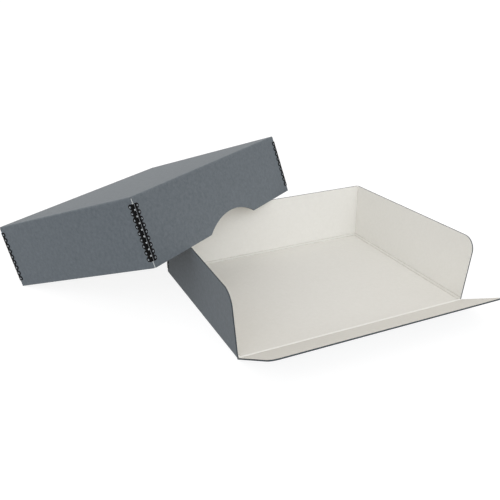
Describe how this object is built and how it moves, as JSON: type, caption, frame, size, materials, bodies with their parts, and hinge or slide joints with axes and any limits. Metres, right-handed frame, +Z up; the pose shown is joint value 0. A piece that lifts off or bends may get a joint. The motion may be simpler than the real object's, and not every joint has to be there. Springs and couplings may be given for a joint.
{
  "type": "drop-front storage box",
  "caption": "Shallow storage box of grey lined board with a hinged drop front, metal-edged corners and a separate full-depth lid with thumb notches, leaning on its tray.",
  "frame": {"origin": "middle of the tray's underside, on the surface the box stands on", "axes": "+Z up, the drop front towards -Y, +X to the right as seen from the drop front"},
  "size_m": [0.499, 0.5275, 0.1531],
  "materials": {
    "grey_board": "matte",
    "cream_liner": "matte",
    "black_stay": "gloss"
  },
  "bodies": {
    "tray": {"tray_floor_board": "grey_board", "tray_floor_liner": "cream_liner", "tray_rear_wall_board": "grey_board", "tray_rear_wall_liner": "cream_liner", "tray_left_wall_board": "grey_board", "tray_left_wall_liner": "cream_liner", "tray_right_wall_board": "grey_board", "tray_right_wall_liner": "cream_liner", "rear_left_tray_stay": "black_stay", "rear_right_tray_stay": "black_stay"},
    "drop_front": {"drop_front_board": "grey_board", "drop_front_liner": "cream_liner"},
    "lid": {"lid_top_board": "grey_board", "lid_top_liner": "cream_liner", "lid_front_wall_board": "grey_board", "lid_front_wall_liner": "cream_liner", "lid_rear_wall_board": "grey_board", "lid_rear_wall_liner": "cream_liner", "lid_left_wall_board": "grey_board", "lid_left_wall_liner": "cream_liner", "lid_right_wall_board": "grey_board", "lid_right_wall_liner": "cream_liner", "front_left_lid_stay": "black_stay", "front_right_lid_stay": "black_stay", "rear_left_lid_stay": "black_stay", "rear_right_lid_stay": "black_stay"}
  },
  "joints": [
    {"name": "drop_front_fold", "type": "hinge", "parent": "tray", "child": "drop_front", "pos_m": [0, -0.11507, 0.00077], "axis": [-1, 0, 0], "range_deg": [-28.1, 61.9]},
    {"name": "lid_lift", "type": "slide", "parent": "tray", "child": "lid", "axis": [0, 0, 1], "range_m": [0, 0.15]}
  ]
}
